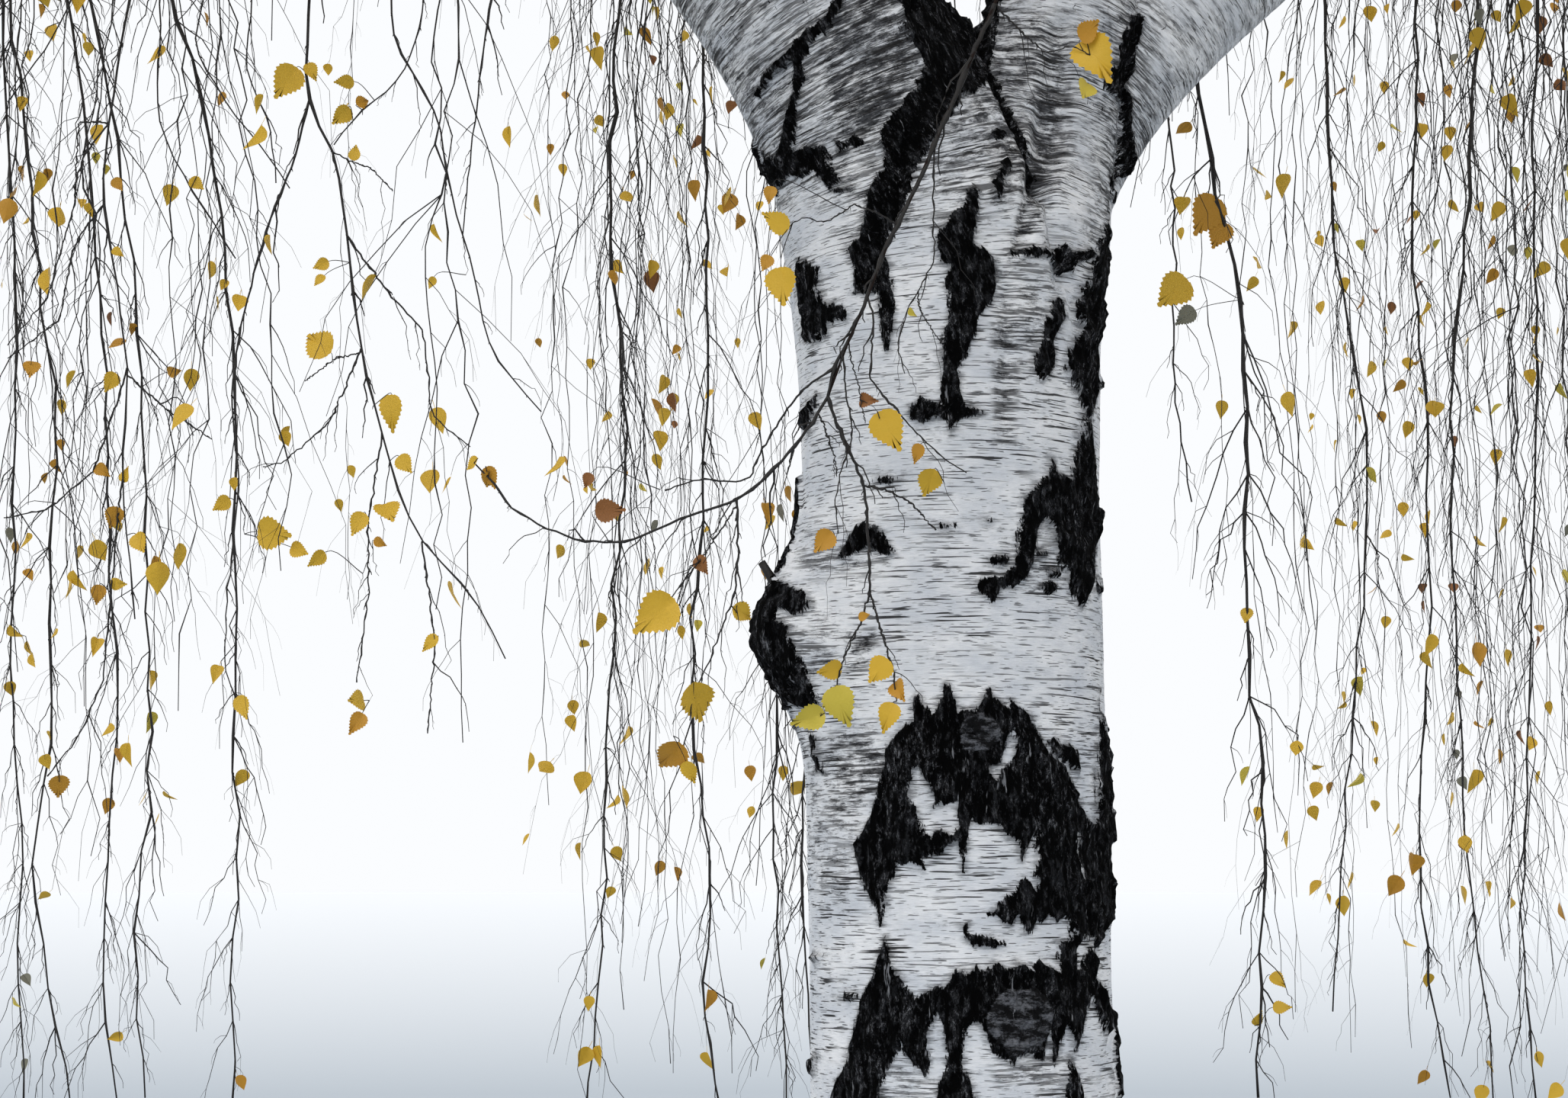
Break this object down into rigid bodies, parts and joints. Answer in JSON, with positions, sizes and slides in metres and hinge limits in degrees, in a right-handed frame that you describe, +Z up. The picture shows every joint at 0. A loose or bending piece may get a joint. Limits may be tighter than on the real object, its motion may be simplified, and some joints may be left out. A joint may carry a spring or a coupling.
{
  "type": "weeping white birch tree",
  "caption": "Whole weeping white birch in late autumn: black-patched white trunk, low fork, and curtains of thin hanging twigs with sparse yellow leaves.",
  "frame": {"origin": "centre of the flat cut under the trunk, at ground level", "axes": "+Z up the trunk, -Y towards the side that the picture shows, +X to the right of it"},
  "size_m": [10.0454, 10.1029, 10.9357],
  "materials": {
    "bark": "papery white birch bark with fine dark lenticels and black furrowed patches",
    "bough_bark": "white bark on thick boughs, passing to dark brown on thin limbs and twigs",
    "foliage": "matt autumn leaves, mustard to amber, on thin dark twigs"
  },
  "bodies": {
    "root": {"bough_left": "bough_bark", "bough_middle": "bough_bark", "bough_right": "bough_bark", "curtain_low_far": "foliage", "curtain_low_front": "foliage", "curtain_low_left": "foliage", "curtain_low_rear": "foliage", "curtain_low_right": "foliage", "curtain_low_side": "foliage", "curtain_middle_01": "foliage", "curtain_middle_02": "foliage", "curtain_middle_03": "foliage", "curtain_middle_04": "foliage", "curtain_middle_05": "foliage", "curtain_middle_06": "foliage", "curtain_outer_01": "foliage", "curtain_outer_02": "foliage", "curtain_outer_03": "foliage", "curtain_outer_04": "foliage", "curtain_outer_05": "foliage", "curtain_outer_06": "foliage", "curtain_outer_07": "foliage", "curtain_outer_08": "foliage", "curtain_outer_09": "foliage", "curtain_top_left": "foliage", "curtain_top_middle": "foliage", "curtain_top_right": "foliage", "curtain_upper_01": "foliage", "curtain_upper_02": "foliage", "curtain_upper_03": "foliage", "curtain_upper_04": "foliage", "limb_low_far": "bough_bark", "limb_low_front": "bough_bark", "limb_low_left": "bough_bark", "limb_low_rear": "bough_bark", "limb_low_right": "bough_bark", "limb_low_side": "bough_bark", "limb_middle_01": "bough_bark", "limb_middle_02": "bough_bark", "limb_middle_03": "bough_bark", "limb_middle_04": "bough_bark", "limb_middle_05": "bough_bark", "limb_middle_06": "bough_bark", "limb_outer_01": "bough_bark", "limb_outer_02": "bough_bark", "limb_outer_03": "bough_bark", "limb_outer_04": "bough_bark", "limb_outer_05": "bough_bark", "limb_outer_06": "bough_bark", "limb_outer_07": "bough_bark", "limb_outer_08": "bough_bark", "limb_outer_09": "bough_bark", "limb_upper_01": "bough_bark", "limb_upper_02": "bough_bark", "limb_upper_03": "bough_bark", "limb_upper_04": "bough_bark", "trunk": "bark"}
  },
  "joints": []
}
